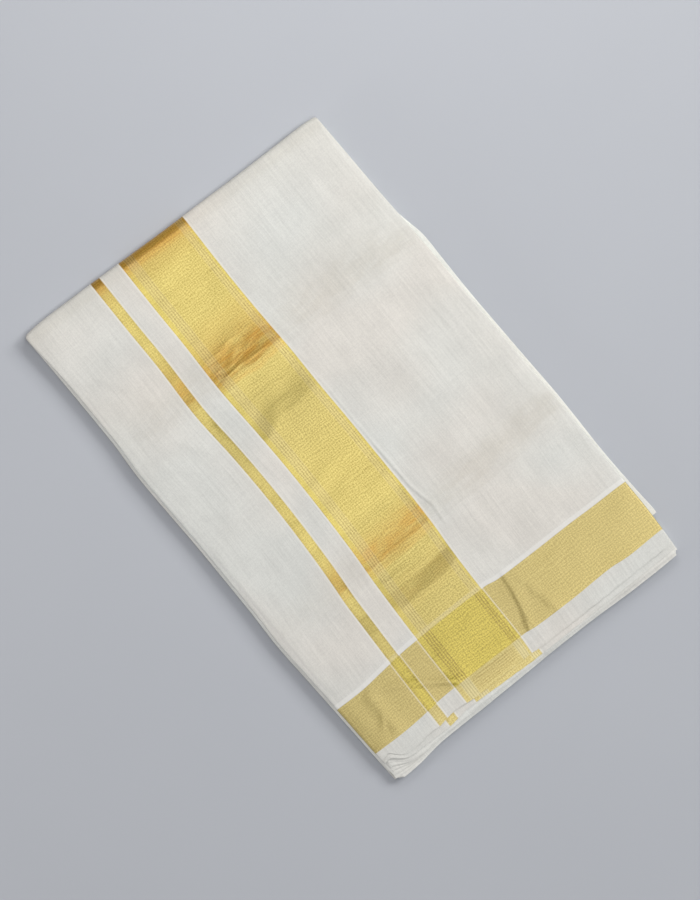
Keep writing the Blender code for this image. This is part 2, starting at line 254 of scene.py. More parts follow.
# painted shade on the gold along its length, in place of how the light falls along it: y, share. Most at the
# fold and around the band
shadeAlongTable = [
    (-260, 0.03), (-234, 0.05), (-214, 0.22), (-145, 0.25), (-85, 0.12), (-15, 0.05), (45, 0.19),
    (105, 0.10), (180, 0.02), (230, 0.04), (250, 0.28),
]


# painted shade on the crease flanks, beside the fold and in a patch above the first crease
def paintedCreaseShade(x, y):
    paintedShading = 0 * x
    reach = paintedShadeLayout["slopeReach"]
    for beside, share in paintedShadeLayout["beside"]:
        fall = (creases(x, y + beside - reach, True) - creases(x, y + beside + reach, True)) / (2 * reach)
        paintedShading = paintedShading + share * np.clip((fall - paintedShadeLayout["slopeFrom"]) / paintedShadeLayout["slopeOver"], 0, 1)
    ragged = 1 + 0.7 * softness(x, y, 16, 5, 2.2) + 0.5 * softness(x, y, 7, 2.2, 6.1)
    beyond = y - foldEdge(x)
    nearFold = sum(share * eased(beyond, start, full) for share, start, full in paintedShadeLayout["nearFold"])
    share, start, full, last, stop = paintedShadeLayout["patch"]
    patch = share * eased(y, start, full) * (1 - eased(y, last, stop))
    return paintedShading * np.clip(ragged, 0.3, 1.4) + nearFold + patch


def shadeAlong(x, y):
    # less painted shade on the right side, from the band down
    return curveThrough(shadeAlongTable, 1, y) - 0.13 * eased(x, 30, 58) * (1 - eased(y, -160, -140))


def ripples(x, y):
    total = np.zeros(np.broadcast(x, y).shape)
    inBorder = within(x, -60, -54, 4, 10)
    for low, high, pitch, height in rippleTable:
        phase = (y - low) / pitch + 1.3 * softness(x, y, 15, 40, low)
        window = within(y, low, low + 5, high - 5, high)
        total = total + height * np.sin(2 * np.pi * phase) * window * inBorder
    return total


def wrinkles(x, y):
    total = np.zeros(np.broadcast(x, y).shape)
    for x0, y0, x1, y1, nearSide, farSide, height in wrinkleTable:
        length = math.hypot(x1 - x0, y1 - y0)
        along = ((x - x0) * (x1 - x0) + (y - y0) * (y1 - y0)) / length
        beside = ((y - y0) * (x1 - x0) - (x - x0) * (y1 - y0)) / length
        fade = within(along, -6, 7, length - 7, length + 6)
        total = total + height * fade * np.exp(-((beside / np.where(beside > 0, nearSide, farSide)) ** 2))
    return total


def topHeight(x, y):
    # the top leaf rises to the fold's full height and sinks a little towards the open end
    towardsFold = eased(y, 150, packet["halfLength"] - 25)
    towardsEnd = eased(-y, 120, packet["halfLength"])
    pressed = packet["stack"] - packet["endFall"] * towardsEnd + creases(x, y)
    return pressed + (2 * packet["foldRadius"] - pressed) * towardsFold


def shoulder(inward):
    # how far the top has fallen at this distance in from a long side
    return packet["shoulderFall"] * np.maximum(0.0, 1 - inward / packet["shoulderWidth"]) ** 2


def roundCorners(x, y):
    # the two ends of the thick fold are rounded off
    for side, radius in packet["foldCorners"]:
        edge = leftEdge(y) if side < 0 else rightEdge(y)
        reach = np.clip((y - foldEdge(x)) / radius + 1, 0, 1)
        tuck = 0.9 * radius * (1 - np.sqrt(1 - reach**2))
        x = x - side * tuck * (1 - eased(np.abs(x - edge), 0, 24))
    return x


def settled(s, t, left, right, low, high):
    # the place s of the way across and t of the way along, between four lines that lean on each other
    x, y = np.zeros_like(s + t), np.zeros_like(s + t)
    for _ in range(5):
        x = left(y) + s * (right(y) - left(y))
        y = low(x) + t * (high(x) - low(x))
    return x, y


# the gold runs in the cloth's own measure: millimetres from the thin stripe and from the band
# y, the thin stripe's left edge, the border's right edge
stripeTable = [
    (252, -84.6, 13.4), (238, -85.0, 13.2), (198, -85.8, 11.8), (158, -86.2, 11.0), (118, -88.2, 11.2),
    (98, -88.5, 11.5), (58, -86.8, 10.8), (18, -86.5, 10.8), (-22, -87.5, 10.2), (-62, -89.8, 9.8),
    (-82, -91.5, 9.2), (-102, -93.5, 8.2), (-122, -94.5, 6.5), (-157, -96.2, 4.8), (-222, -98.5, 3.5),
    (-240, -99.0, 2.0),
]
# x, the band's upper edge, lower edge
bandTable = [
    (-160, -167.0, -217.0), (-130, -168.1, -218.6), (-110, -166.9, -218.6), (-76, -165.1, -217.1),
    (8, -167.3, -220.3), (20, -169.6, -222.1), (60, -171.6, -224.1), (100, -172.9, -224.6),
    (120, -174.1, -226.9), (150, -175.3, -227.3), (165, -176.4, -228.0),
]
borderSpan = 99.5
bandSpan = 52.0


def clothMeasure(x, y):
    thinLeft, borderRight = curveThrough(stripeTable, 1, y), curveThrough(stripeTable, 2, y)
    inside = (x - thinLeft) * borderSpan / (borderRight - thinLeft)
    beyond = np.where(x > borderRight, borderSpan + x - borderRight, inside)
    across = np.where(x < thinLeft, x - thinLeft, beyond)
    upper, lower = curveThrough(bandTable, 1, x), curveThrough(bandTable, 2, x)
    along = np.where(y > upper, upper - y, (upper - y) * bandSpan / (upper - lower))
    return across, along


def linked(name, mesh):
    piece = bpy.data.objects.new(name, mesh)
    bpy.context.scene.collection.objects.link(piece)
    return piece


def meshFromGrid(name, x, y, z, across, along, material, paintedShade=None, flip=False):
    # a sheet of quads from rows of points; its UV maps hold the cloth's measure and its painted shade
    rows, columns = x.shape
    number = np.arange(rows * columns).reshape(rows, columns)
    quads = np.stack([number[:-1, :-1], number[:-1, 1:], number[1:, 1:], number[1:, :-1]], -1).reshape(-1, 4)
    if flip:
        quads = quads[:, ::-1]
    mesh = bpy.data.meshes.new(name)
    points = np.stack([x, y, z], -1).reshape(-1, 3) * millimetre
    mesh.from_pydata(points.tolist(), [], quads.tolist())
    paintedShading = 0 * x if paintedShade is None else paintedShade
    maps = {"clothMeasure": (across * millimetre, along * millimetre), "paintedShade": (paintedShading, shadeAlong(x, y))}
    for title, values in maps.items():
        layer = mesh.uv_layers.new(name=title)
        corners = np.stack(values, -1).reshape(-1, 2)[quads.reshape(-1)]
        layer.data.foreach_set("uv", corners.astype(np.float32).ravel())
    mesh.shade_smooth()
    mesh.materials.append(material)
    return linked(name, mesh)


def applyModifiers(piece):
    graph = bpy.context.evaluated_depsgraph_get()
    finished = bpy.data.meshes.new_from_object(piece.evaluated_get(graph), depsgraph=graph)
    piece.modifiers.clear()
    piece.data = finished
    return piece


def thicken(piece, thickness):
    # the sheet grows inwards, with crisp rims
    wall = piece.modifiers.new("clothThickness", "SOLIDIFY")
    wall.thickness = thickness * millimetre
    wall.offset = -1.0
    wall.use_even_offset = True
    applyModifiers(piece)
    piece.data.set_sharp_from_angle(angle=math.radians(55))
    return piece


def newGroup(name, outputs):
    # a node group that is given the place on the cloth and gives back plain values
    tree = bpy.data.node_groups.new(name, "ShaderNodeTree")
    tree.interface.new_socket("Measure", in_out="INPUT", socket_type="NodeSocketVector")
    for title in outputs:
        tree.interface.new_socket(title, in_out="OUTPUT", socket_type="NodeSocketFloat")
    start, end = tree.nodes.new("NodeGroupInput"), tree.nodes.new("NodeGroupOutput")
    start.location, end.location = (-900, 0), (900, 0)
    return tree, start.outputs["Measure"], end.inputs


def join(value, socket):
    socket.id_data.links.new(value, socket)


def feed(socket, value):
    # a number or a colour is set on the socket itself, anything else is joined to it
    if isinstance(value, tuple):
        socket.default_value = (*value, 1.0)
    elif isinstance(value, (int, float)):
        socket.default_value = value
    else:
        join(value, socket)


def addNode(kind, *given):
    # a new node in the tree that the values it will be given come from
    tree = next(value.id_data for value in given if hasattr(value, "id_data"))
    return tree.nodes.new("ShaderNode" + kind)


def calculate(operation, a, b=0.5, clamp=False):
    # a sine, or a value without its sign, leaves b unused
    node = addNode("Math", a, b)
    node.operation = operation
    node.use_clamp = clamp
    feed(node.inputs[0], a)
    feed(node.inputs[1], b)
    return node.outputs[0]


def times(a, b, clamp=False):
    return calculate("MULTIPLY", a, b, clamp)


def plus(a, b):
    return calculate("ADD", a, b)


def minus(a, b):
    return calculate("SUBTRACT", a, b)


def remap(value, fromLow, fromHigh, toLow, toHigh, smooth=False):
    node = addNode("MapRange", value)
    if smooth:
        node.interpolation_type = "SMOOTHSTEP"
    titles = ("Value", "From Min", "From Max", "To Min", "To Max")
    for title, given in zip(titles, (value, fromLow, fromHigh, toLow, toHigh)):
        feed(node.inputs[title], given)
    return node.outputs[0]


def stripe(measure, low, high, soft):
    # 1 between low and high, fading over soft, all in millimetres
    edges = [[(edge + half) * millimetre for half in (-soft / 2, soft / 2)] for edge in (low, high)]
    return times(remap(measure, *edges[0], 0.0, 1.0, True), remap(measure, *edges[1], 1.0, 0.0, True))


def combined(operation, parts):
    whole = parts[0]
    for part in parts[1:]:
        whole = calculate(operation, whole, part)
    return whole


def mixColour(factor, a, b, blend="MIX"):
    node = addNode("Mix", factor, a, b)
    node.data_type = "RGBA"
    node.blend_type = blend
    for index, value in ((0, factor), (6, a), (7, b)):  # the sockets that a colour mix uses
        feed(node.inputs[index], value)
    return node.outputs[2]


def scaled(vector, sizes):
    node = addNode("Mapping", vector)
    node.inputs["Scale"].default_value = sizes
    join(vector, node.inputs["Vector"])
    return node.outputs[0]


def splitAxes(vector):
    node = addNode("SeparateXYZ", vector)
    join(vector, node.inputs[0])
    return node.outputs


def grain(vector, detail=2.0, roughness=0.5):
    node = addNode("TexNoise", vector)
    for title, value in {"Vector": vector, "Scale": 1.0, "Detail": detail, "Roughness": roughness}.items():
        feed(node.inputs[title], value)
    return node.outputs["Fac"]


def stretchedNoise(vector, across, along, detail=2.0, roughness=0.5):
    # soft noise whose blotches are across by along millimetres
    return grain(scaled(vector, (1 / (across * millimetre), 1 / (along * millimetre), 1)), detail, roughness)


def cellNoise(vector, sizes):
    # one random value for each cell of the given size in millimetres
    snapped = addNode("VectorMath", vector)
    snapped.operation = "FLOOR"
    join(scaled(vector, tuple(1 / (size * millimetre) for size in sizes) + (1,)), snapped.inputs[0])
    random = addNode("TexWhiteNoise", vector)
    random.noise_dimensions = "2D"
    join(snapped.outputs[0], random.inputs["Vector"])
    return random.outputs["Value"]


def threadWave(measure, pitch):
    return calculate("SINE", times(measure, math.pi / (pitch * millimetre)))


def threadRows(measure, pitch):
    # rounded threads side by side: 0 between two threads, 1 on top of one
    return calculate("ABSOLUTE", threadWave(measure, pitch))


def fineLines(measure, start, stop, pitch, thickness):
    # thin parallel lines at the given pitch between start and stop
    rows = threadRows(minus(measure, (start + pitch / 2) * millimetre), pitch)
    return times(minus(1.0, calculate("POWER", rows, thickness)), stripe(measure, start, stop, 0.3))


# plain weave: thread relief, thick and thin yarns, and the soft tone of washed cotton, in millimetres
weave = {
    "warpPitch": 0.45, "weftPitch": 0.5,
    # across, along, detail, roughness, share
    "slubs": ((0.75, 38, 2.0, 0.6, 0.42), (2.6, 85, 1.0, 0.5, 0.22), (30, 0.9, 2.0, 0.6, 0.22)),
    "fleck": (0.9, 1.1), "fleckShare": 0.14,
    "clouds": (34, 46, 2.5, 0.5), "warmth": (120, 95, 1.0, 0.4),
}


def makePlainWeave():
    tree, measure, out = newGroup("plainWeave", ("Threads", "Slubs", "Clouds", "Warmth"))
    place = splitAxes(measure)
    waves = [threadWave(place["X"], weave["warpPitch"]), threadWave(place["Y"], weave["weftPitch"])]
    warp, weft = [calculate("ABSOLUTE", wave) for wave in waves]
    over = calculate("GREATER_THAN", times(*waves), 0.0)
    under = minus(1.0, over)
    relief = plus(times(warp, over), times(weft, under))
    join(relief, out["Threads"])
    parts = [times(stretchedNoise(measure, *sizes), share) for *sizes, share in weave["slubs"]]
    parts.append(times(cellNoise(measure, weave["fleck"]), weave["fleckShare"]))
    join(combined("ADD", parts), out["Slubs"])
    join(stretchedNoise(measure, *weave["clouds"]), out["Clouds"])
    join(stretchedNoise(measure, *weave["warmth"]), out["Warmth"])
    return tree


# gold yarn: floats that catch the light beside duller ones, and streaks that run with the weft
yarn = {
    # axis, pitch, size of the wander across and along, share
    "ribs": (("Y", 2.5, (15, 9), 0.20), ("X", 2.4, (9, 15), 0.14)),
    "wander": 0.0022, "floats": (1.2, 0.9, 1.0), "floatShare": 0.66, "streaks": (30, 1.9, 2.0, 0.6),
}


def makeGoldYarn():
    tree, measure, out = newGroup("goldYarn", ("Sparkle", "Streaks"))
    place = splitAxes(measure)
    ribs = []
    for axis, pitch, sizes, share in yarn["ribs"]:
        # the ribs of the weave wander a little, so they never read as a ruled grid
        soft = stretchedNoise(measure, *sizes, 1.0)
        wander = remap(soft, 0.2, 0.8, -yarn["wander"], yarn["wander"])
        rows = threadRows(plus(place[axis], wander), pitch)
        ribs.append(times(calculate("POWER", rows, 2.0), share))
    floats = remap(stretchedNoise(measure, *yarn["floats"]), 0.25, 0.75, 0.0, yarn["floatShare"])
    join(plus(plus(*ribs), floats), out["Sparkle"])
    join(stretchedNoise(measure, *yarn["streaks"]), out["Streaks"])
    return tree


# where the gold lies: millimetres from the thin stripe's left edge, and down from the band's upper edge
border = {
    "thin": (0.0, 9.4), "wide": (30.2, borderSpan), "band": (0.0, bandSpan),
    "pins": ((34.9, 44.3, 2.35), (90.6, 97.3, 2.25)),     # from, to, pitch
    "edgeStrips": ((30.2, 34.9), (97.3, 99.5)),
    "thinPins": ((0.9, 1.6), (7.9, 8.6)),
    # pale lines at the gold's edges; the one past the wide border's right edge is also a painted highlight
    "cream": ((-1.4, -0.4), (9.8, 10.8), (28.8, 29.9), (99.9, 100.9)),
    "bandLine": (-4.2, -0.4),
    "tail": (52.4, 90.0), "tailLines": (54.4, 66.2, 2.15), "tailAcross": (44.0, 88.0),
}


def makeGoldPattern():
    tree, measure, out = newGroup("goldPattern", (
        "Border", "Band", "Pins", "Pin Zone", "Edge Strips", "Cream Lines", "Band Line", "Tail",
        "Tail Lines"))
    place = splitAxes(measure)
    across, along = place["X"], place["Y"]

    def stripes(places, soft):
        return combined("MAXIMUM", [stripe(across, low, high, soft) for low, high, *_ in places])

    join(stripes((border["thin"], border["wide"]), 0.5), out["Border"])
    join(stripe(along, *border["band"], 0.7), out["Band"])
    pins = [fineLines(across, *zone, 1.0) for zone in border["pins"]]
    pins += [times(stripe(across, *line, 0.4), 0.6) for line in border["thinPins"]]
    join(combined("MAXIMUM", pins), out["Pins"])
    join(stripes(border["pins"], 1.0), out["Pin Zone"])
    join(stripes(border["edgeStrips"], 0.5), out["Edge Strips"])
    join(stripes(border["cream"], 0.4), out["Cream Lines"])
    join(stripe(along, *border["bandLine"], 1.4), out["Band Line"])
    join(stripe(along, *border["tail"], 1.2), out["Tail"])
    tailLines = fineLines(along, *border["tailLines"], 0.8)
    tailWidth = stripe(across, *border["tailAcross"], 14.0)
    join(times(tailLines, tailWidth), out["Tail Lines"])
    return tree


plainWeave, goldYarn, goldPattern = makePlainWeave(), makeGoldYarn(), makeGoldPattern()

cottonLook = {
    "warmWhite": (0.727, 0.701, 0.652), "coolWhite": (0.700, 0.706, 0.672),
    "slub": 0.115, "cloud": 0.065,                        # how much lighter or darker they make it
    "cream": (0.85, 0.82, 0.745), "creamShare": 0.75, "creamInBand": 0.36,
    "bandLine": (0.84, 0.83, 0.80), "bandLineShare": 0.55, "bandLineInGold": 0.1,
    "paintedShadeWhite": (0.93, 0.918, 0.897),                       # painted shade on the white beside a crease and near the fold
    "paintedLightInside": 1.14, "hiddenWarmth": 0.45,       # painted light: plain cotton lightened so the steep ply ends read as lit; and less warm
    "bump": 0.09, "bumpStrength": 0.6, "sheen": 0.1, "sheenRoughness": 0.5,
}
goldLook = {
    # each gold's dull and bright colour, mixed by the painted glint of the yarn
    "borderDull": (0.382, 0.294, 0.064), "borderBright": (0.692, 0.562, 0.161),
    "bandDull": (0.475, 0.364, 0.120), "bandBright": (0.722, 0.597, 0.228),
    "crossingDull": (0.345, 0.266, 0.028), "crossingBright": (0.702, 0.562, 0.090),
    # browner gold for the painted shade on the crease flanks and at the fold
    "creaseShadeDull": (0.41, 0.215, 0.024), "creaseShadeBright": (0.68, 0.385, 0.058), "creaseShadeMost": 0.8,
    "edgeStrip": (0.66, 0.53, 0.075), "edgeStripShare": 0.25,
    "tailPale": (0.93, 0.80, 0.36), "tailDull": (0.70, 0.55, 0.20), "tailDark": (0.42, 0.28, 0.08),
    "tailShare": 0.75,
    "pinLight": (0.88, 0.79, 0.44), "pinLightShare": (0.15, 0.62),   # in the border, past the band
    "pinDark": (0.22, 0.133, 0.014), "pinDarkShare": (0.5, 0.36), "pinInCrossing": 0.76,
    "metal": 0.34, "bandMetal": 0.75, "tailLoss": 0.35, "roughness": (0.9, 0.25),
}


def shaderOf(material):
    material.use_nodes = True
    return material.node_tree, material.node_tree.nodes["Principled BSDF"]


def placeGroup(group, measure):
    node = addNode("Group", measure)
    node.node_tree = group
    join(measure, node.inputs["Measure"])
    return node.outputs


def uvPlace(tree, name):
    node = tree.nodes.new("ShaderNodeUVMap")
    node.uv_map = name
    return node.outputs[0]


def cottonColour(cotton, brightness=1.0, warmest=1.0):
    look = cottonLook
    warmth = remap(cotton["Warmth"], 0.36, 0.64, 0.0, warmest)
    white = mixColour(warmth, look["coolWhite"], look["warmWhite"])
    slubs = remap(cotton["Slubs"], 0.3, 0.7, brightness - look["slub"], brightness + look["slub"])
    clouds = remap(cotton["Clouds"], 0.3, 0.7, 1 - look["cloud"], 1 + look["cloud"] / 2)
    return mixColour(1.0, white, times(slubs, clouds), "MULTIPLY")


def cottonRelief(cotton):
    return plus(times(cotton["Threads"], 0.35), times(cotton["Slubs"], 0.8))


def finishCloth(shader, height):
    # the relief of the weave, and the faint nap of cotton
    bump = addNode("Bump", height)
    feed(bump.inputs["Distance"], cottonLook["bump"] * millimetre)
    feed(bump.inputs["Strength"], cottonLook["bumpStrength"])
    join(height, bump.inputs["Height"])
    join(bump.outputs[0], shader.inputs["Normal"])
    shader.inputs["Sheen Weight"].default_value = cottonLook["sheen"]
    shader.inputs["Sheen Roughness"].default_value = cottonLook["sheenRoughness"]


def borderColour(gold, sparkle, rawSparkle, paintedShade, broken):
    # the woven border: its yarn, painted shade on its creases and fold, paler tail past the band and
    # pinstripes
    look = goldLook
    field = mixColour(sparkle, look["borderDull"], look["borderBright"])
    strips = times(gold["Edge Strips"], look["edgeStripShare"])
    field = mixColour(strips, field, look["edgeStrip"])
    # painted shade: browner gold on the crease flanks and at the fold
    field = mixColour(paintedShade, field, mixColour(sparkle, look["creaseShadeDull"], look["creaseShadeBright"]))
    tail = mixColour(sparkle, look["tailDull"], look["tailPale"])
    tailLine = times(gold["Tail Lines"], remap(rawSparkle, 0.2, 0.8, 1.0, 0.35))
    tail = mixColour(tailLine, tail, look["tailDark"])
    field = mixColour(times(gold["Tail"], look["tailShare"]), field, tail)
    bandLine = times(gold["Band Line"], cottonLook["bandLineInGold"])
    field = mixColour(bandLine, field, cottonLook["bandLine"])
    pale = times(gold["Pin Zone"], remap(gold["Tail"], 0.0, 1.0, *look["pinLightShare"]))
    dark = times(remap(gold["Tail"], 0.0, 1.0, *look["pinDarkShare"]), broken)
    field = mixColour(pale, field, look["pinLight"])
    return mixColour(times(gold["Pins"], dark), field, look["pinDark"])


def makeBorderedCotton(name):
    material = bpy.data.materials.new(name)
    tree, shader = shaderOf(material)
    white, look = cottonLook, goldLook
    measure = uvPlace(tree, "clothMeasure")
    cotton = placeGroup(plainWeave, measure)
    shine = placeGroup(goldYarn, measure)
    gold = placeGroup(goldPattern, measure)
    paintedShading = splitAxes(uvPlace(tree, "paintedShade"))
    # Sparkle is a painted glint on the yarn's ribs and floats: each gold is mixed from its dull to its
    # bright colour by it
    sparkle = remap(shine["Sparkle"], 0.22, 0.78, 0.0, 1.0)
    broken = remap(shine["Sparkle"], 0.2, 0.8, 1.35, 0.55)
    # the painted crease shade, broken up into streaks
    streaky = remap(shine["Streaks"], 0.35, 0.65, 0.8 * look["creaseShadeMost"], 1.15 * look["creaseShadeMost"])
    paintedShade = times(paintedShading["X"], streaky, clamp=True)
    # the white cotton, with its cream lines; the one past the wide border is also a painted highlight
    creamLines = times(gold["Cream Lines"], white["creamShare"])
    plain = mixColour(creamLines, cottonColour(cotton), white["cream"])
    plain = mixColour(times(gold["Band Line"], white["bandLineShare"]), plain, white["bandLine"])
    # painted shade on the white beside the creases and near the fold
    plain = mixColour(calculate("MINIMUM", paintedShading["X"], 1.0), plain, white["paintedShadeWhite"], "MULTIPLY")
    # the border, the band, and the square where both are gold
    field = borderColour(gold, sparkle, shine["Sparkle"], paintedShade, broken)
    band = mixColour(sparkle, look["bandDull"], look["bandBright"])
    crossing = mixColour(sparkle, look["crossingDull"], look["crossingBright"])
    crossingPins = times(gold["Pins"], times(broken, look["pinInCrossing"]))
    crossing = mixColour(crossingPins, crossing, look["pinDark"])
    # painted shade along the gold's length: full on the border and crossing, half on the band
    unshadedAlong = minus(1.0, paintedShading["Y"])
    field, crossing = [mixColour(1.0, colour, unshadedAlong, "MULTIPLY") for colour in (field, crossing)]
    band = mixColour(0.5, band, unshadedAlong, "MULTIPLY")
    band = mixColour(times(gold["Cream Lines"], white["creamInBand"]), band, white["cream"])
    unbanded = mixColour(gold["Border"], plain, field)
    banded = mixColour(gold["Border"], band, crossing)
    join(mixColour(gold["Band"], unbanded, banded), shader.inputs["Base Color"])
    # how much of the yarn is metal
    share = calculate("MAXIMUM", gold["Border"], times(gold["Band"], look["bandMetal"]))
    share = times(share, minus(1.0, times(gold["Tail"], look["tailLoss"])))
    join(times(share, look["metal"]), shader.inputs["Metallic"])
    join(remap(share, 0.0, 1.0, *look["roughness"]), shader.inputs["Roughness"])
    bare = minus(1.0, times(share, 0.8))
    glint = plus(times(shine["Streaks"], 0.7), times(shine["Sparkle"], 0.05))
    relief = times(cottonRelief(cotton), bare)
    finishCloth(shader, plus(relief, times(glint, share)))
    return material


def makePlainCotton(name):
    material = bpy.data.materials.new(name)
    tree, shader = shaderOf(material)
    place = tree.nodes.new("ShaderNodeTexCoord")
    cotton = placeGroup(plainWeave, place.outputs["Object"])
    # painted light: the plain cotton is lightened
    colour = cottonColour(cotton, cottonLook["paintedLightInside"], cottonLook["hiddenWarmth"])
    join(colour, shader.inputs["Base Color"])
    join(remap(cotton["Slubs"], 0.3, 0.7, 0.94, 0.84), shader.inputs["Roughness"])
    finishCloth(shader, cottonRelief(cotton))
    return material


borderedCotton = makeBorderedCotton("borderedCotton")
plainCotton = makePlainCotton("plainCotton")
print("materials made")

# the outer leaf: top, round the thick fold, and the underside
outer = {
    "curl": 1.5,              # outside radius where the leaf turns under at a long side
    "curlAngles": (-1.35, -0.9, -0.45, 0.0, 0.4, 0.8, 1.15, 1.4),
    "pastCurl": (0.9, 1.8, 2.8, 4.0), "flatFrom": 5.2,  # columns just past the turn, then the even ones
    "columns": 118, "topRows": 276, "foldRows": 13, "underRows": 26,
    "rowsFrom": -238, "rowsTo": 241,
    # closer columns and rows: where, half width of that stretch, how much closer
    "columnFocus": ((5.0, 6.0, 2.0), (86.0, 9.0, 0.9), (26.0, 8.0, 0.6), (176.0, 8.5, 3.6),
                    (311.0, 5.0, 2.0)),
    "rowFocus": ((110.0, 9.0, 1.6), (88.0, 14.0, 0.9), (56.0, 10.0, 0.5), (-94.0, 6.0, 1.6),
                 (-108.0, 12.0, 1.0), (-134.0, 8.0, 1.6), (-205.0, 36.0, 0.7)),
    "underSetBack": 3.4,
    # height, across, along, seed
    "undulation": ((0.24, 40.0, 26.0, 3.1), (0.10, 15.0, 19.0, 7.7), (0.045, 24.0, 6.0, 1.3),
                   (0.012, 30.0, 2.8, 4.4)),
    "endLift": (0.22, 0.30),  # least rise of the cut end, and how much more in places
}


def stations(start, stop, count, focus):
    # places from start to stop, closer together at each focus
    fine = np.linspace(start, stop, 4000)
    density = 1.0 + sum(extra * np.exp(-(((fine - centre) / half) ** 4)) for centre, half, extra in focus)
    share = np.cumsum(density)
    return np.interp(np.linspace(0, 1, count), (share - share[0]) / (share[-1] - share[0]), fine)


def acrossSection(curl, count):
    # each column: share of the width, distance in from the edge, depth, extra cloth round the turn
    turn = []
    for a in outer["curlAngles"]:
        turn.append((curl * (1 - math.cos(a)), curl * (1 - math.sin(a)), curl * (math.pi / 2 - a)))
    turn += [(curl + beyond, 0.0, 0.0) for beyond in outer["pastCurl"]]
    width, margin = 2 * packet["halfWidth"], outer["flatFrom"]
    spots = stations(curl + margin, width - curl - margin, count, outer["columnFocus"])
    section = [(0.0, *row) for row in turn] + [(spot / width, None, 0.0, 0.0) for spot in spots]
    return section + [(1.0, *row) for row in reversed(turn)]


def turnedCloth(section):
    # the extra cloth of the turns, counted outwards from each side
    return np.array([row[3] * (-1 if row[0] == 0 else 1) for row in section])[None, :]


def leafRun(section, rows, lower, higher, level, drop, inset=0.0):
    # points of one flat run of a leaf; level is 1 on top, 0 underneath, drop how far it lies under the top
    share = np.array([row[0] for row in section])[None, :]
    inward = np.array([np.nan if row[1] is None else row[1] for row in section])[None, :]
    depth = np.array([row[2] for row in section])[None, :]
    rows = np.array(rows)[:, None]
    setBack = packet["setBack"] * level

    def left(y):
        fade = 1 - eased(y, packet["halfLength"] - packet["setBackFade"], packet["halfLength"])
        return leftEdge(y) + inset + setBack * fade

    def right(y):
        return rightEdge(y) - inset

    x, y = settled(share, rows, left, right, lower, higher)
    curled = ~np.isnan(inward) & np.ones_like(x, bool)
    x = np.where(curled, x + np.where(share == 0, 1.0, -1.0) * np.nan_to_num(inward), x)
    y = np.where(curled, lower(x) + rows * (higher(x) - lower(x)), y)
    fromEdge = np.where(curled, np.nan_to_num(inward), np.minimum(x - left(y), right(y) - x))
    return x, y, depth + drop + shoulder(fromEdge) * level, fromEdge


def undulation(x, y):
    # the washed cotton is more rumpled than the stiff border
    stiff = within(x, -62, -54, 8, 16)
    waves = sum(height * softness(x, y, *sizes) for height, *sizes in outer["undulation"])
    return waves * (1.55 - 0.55 * stiff)


def cutEdge(x, leaf):
    # a cut end is never quite straight
    uneven = 0.16 * np.sin(x / 2.9 + leaf) * np.sin(x / 7.3 + 2 * leaf)
    return leafEnd(x, leaf) + uneven + 0.1 * np.sin(x / 1.7)


def addOuterLeaf():
    section = acrossSection(outer["curl"], outer["columns"])
    wrap = turnedCloth(section)
    radius = packet["foldRadius"]
    low, high = outer["rowsFrom"], outer["rowsTo"]
    rows = (stations(low, high, outer["topRows"], outer["rowFocus"]) - low) / (high - low)

    def foldLine(x):
        return foldEdge(x) - radius

    x, y, depth, fromEdge = leafRun(section, rows, lambda x: cutEdge(x, 1), foldLine, 1.0, 0.0)
    calm = eased(fromEdge, 0.2, 2.6) * (1 - eased(y, 212, 238))
    relief = wrinkles(x, y) + ripples(x, y) + undulation(x, y) * eased(fromEdge, 0, 8)
    z = topHeight(x, y) - depth + relief * calm
    # its cut end turns up a little, more in some places than in others
    least, more = outer["endLift"]
    lift = (least + more * softness(x, y, 24, 60, 9.4)) * (1 - eased(y - leafEnd(x, 1), 0.2, 6.0))
    z = z + lift * eased(fromEdge, 0.5, 9)
    across, along = clothMeasure(x, y)
    blocks = [(x, y, z, across + wrap, along, paintedCreaseShade(x, y))]
    # round the fold, with painted shade all the way round
    xEnd, yEnd, endDepth, acrossEnd, alongEnd = x[-1:], y[-1:], depth[-1:], across[-1:], along[-1:]
    angles = np.linspace(0, math.pi, outer["foldRows"] + 2)[1:-1][:, None]
    turn = radius - endDepth
    blocks.append((xEnd + 0 * angles, yEnd + turn * np.sin(angles), radius + turn * np.cos(angles),
                   acrossEnd + wrap + 0 * angles, alongEnd - radius * angles,
                   paintedShadeLayout["roundFold"] + 0 * angles))
    # back along the underside
    x, y, depth, _ = leafRun(section, np.linspace(1, 0, outer["underRows"]),
                             lambda x: leafEnd(x, 5) + outer["underSetBack"], foldLine, 0.0, 0.0)
    alongUnder = alongEnd - radius * math.pi - (yEnd - y)
    acrossUnder = clothMeasure(x, np.minimum(2 * yEnd - y, 252))[0] + wrap
    blocks.append((x, y, depth + 0 * y, acrossUnder, alongUnder, 0 * y))
    *whole, paintedShade = [np.concatenate([block[n] + 0 * block[0] for block in blocks]) for n in range(6)]
    whole[0] = roundCorners(whole[0], whole[1])
    return thicken(meshFromGrid("outerLeaf", *whole, borderedCotton, paintedShade), packet["cloth"])


outerLeaf = addOuterLeaf()
print("outer leaf made:", len(outerLeaf.data.polygons), "faces")

# the second leaf, which shows beyond the top one's cut end; its pattern is shifted a little
second = {
    "start": -176.0, "rows": 46, "crowding": 1.3, "columns": 108, "shift": (7.0, 3),
    "hang": (0.10, 0.16),     # how unevenly its free end stands up, and how far
}


